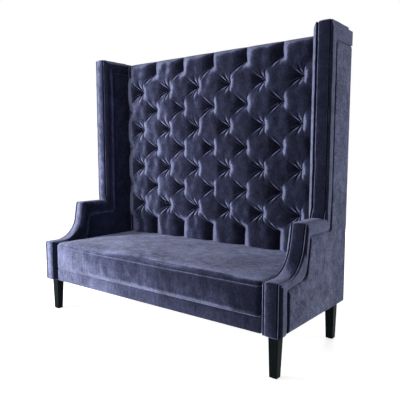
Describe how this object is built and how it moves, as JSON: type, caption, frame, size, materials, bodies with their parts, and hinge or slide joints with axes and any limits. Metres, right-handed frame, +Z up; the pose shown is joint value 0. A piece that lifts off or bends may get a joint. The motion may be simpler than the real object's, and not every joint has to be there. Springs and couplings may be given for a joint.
{
  "type": "high-back wing settee",
  "caption": "Upholstered high-back settee with a deep-tufted back, tall wings that step down to low arms, a fixed box seat and tapered legs; seats people side by side.",
  "frame": {"origin": "on the floor, under the middle of the bounding box", "axes": "+X across the settee towards its right end as seen from the front, +Y from front to back, +Z up"},
  "size_m": [1.8018, 0.762, 1.722],
  "materials": {
    "velvet": "deep-pile velvet, dark face on and pale where seen along the pile",
    "frame_timber": "planed softwood, unfinished",
    "plywood": "plain plywood",
    "leg_wood": "black-stained, satin",
    "zinc_steel": "zinc-plated",
    "glide_plastic": "moulded",
    "webbing": "woven strap",
    "dust_cloth": "thin non-woven cloth"
  },
  "bodies": {
    "root": {"seat_cushion": "velvet", "rail_cover": "velvet", "back_pad": "velvet", "outside_back": "velvet", "border_left": "velvet", "inner_panel_left": "velvet", "outer_panel_left": "velvet", "wing_cap_left": "velvet", "base_rail_left": "frame_timber", "front_post_left": "frame_timber", "arm_post_left": "frame_timber", "arm_rail_left": "frame_timber", "wing_post_left": "frame_timber", "rear_post_left": "frame_timber", "wing_rail_left": "frame_timber", "front_block_left": "frame_timber", "rear_block_left": "frame_timber", "border_right": "velvet", "inner_panel_right": "velvet", "outer_panel_right": "velvet", "wing_cap_right": "velvet", "base_rail_right": "frame_timber", "front_post_right": "frame_timber", "arm_post_right": "frame_timber", "arm_rail_right": "frame_timber", "wing_post_right": "frame_timber", "rear_post_right": "frame_timber", "wing_rail_right": "frame_timber", "front_block_right": "frame_timber", "rear_block_right": "frame_timber", "front_seat_rail": "frame_timber", "rear_seat_rail": "frame_timber", "cross_rail": "frame_timber", "back_bottom_rail": "frame_timber", "back_top_rail": "frame_timber", "back_stud": "frame_timber", "tufting_board": "plywood", "webbing_strap_1": "webbing", "webbing_strap_2": "webbing", "webbing_strap_3": "webbing", "webbing_strap_4": "webbing", "webbing_strap_5": "webbing", "dust_cover": "dust_cloth", "leg_front_left": "leg_wood", "leg_plate_front_left": "zinc_steel", "leg_bolt_front_left": "zinc_steel", "glide_front_left": "glide_plastic", "leg_front_right": "leg_wood", "leg_plate_front_right": "zinc_steel", "leg_bolt_front_right": "zinc_steel", "glide_front_right": "glide_plastic", "leg_rear_left": "leg_wood", "leg_plate_rear_left": "zinc_steel", "leg_bolt_rear_left": "zinc_steel", "glide_rear_left": "glide_plastic", "leg_rear_right": "leg_wood", "leg_plate_rear_right": "zinc_steel", "leg_bolt_rear_right": "zinc_steel", "glide_rear_right": "glide_plastic"}
  },
  "joints": []
}
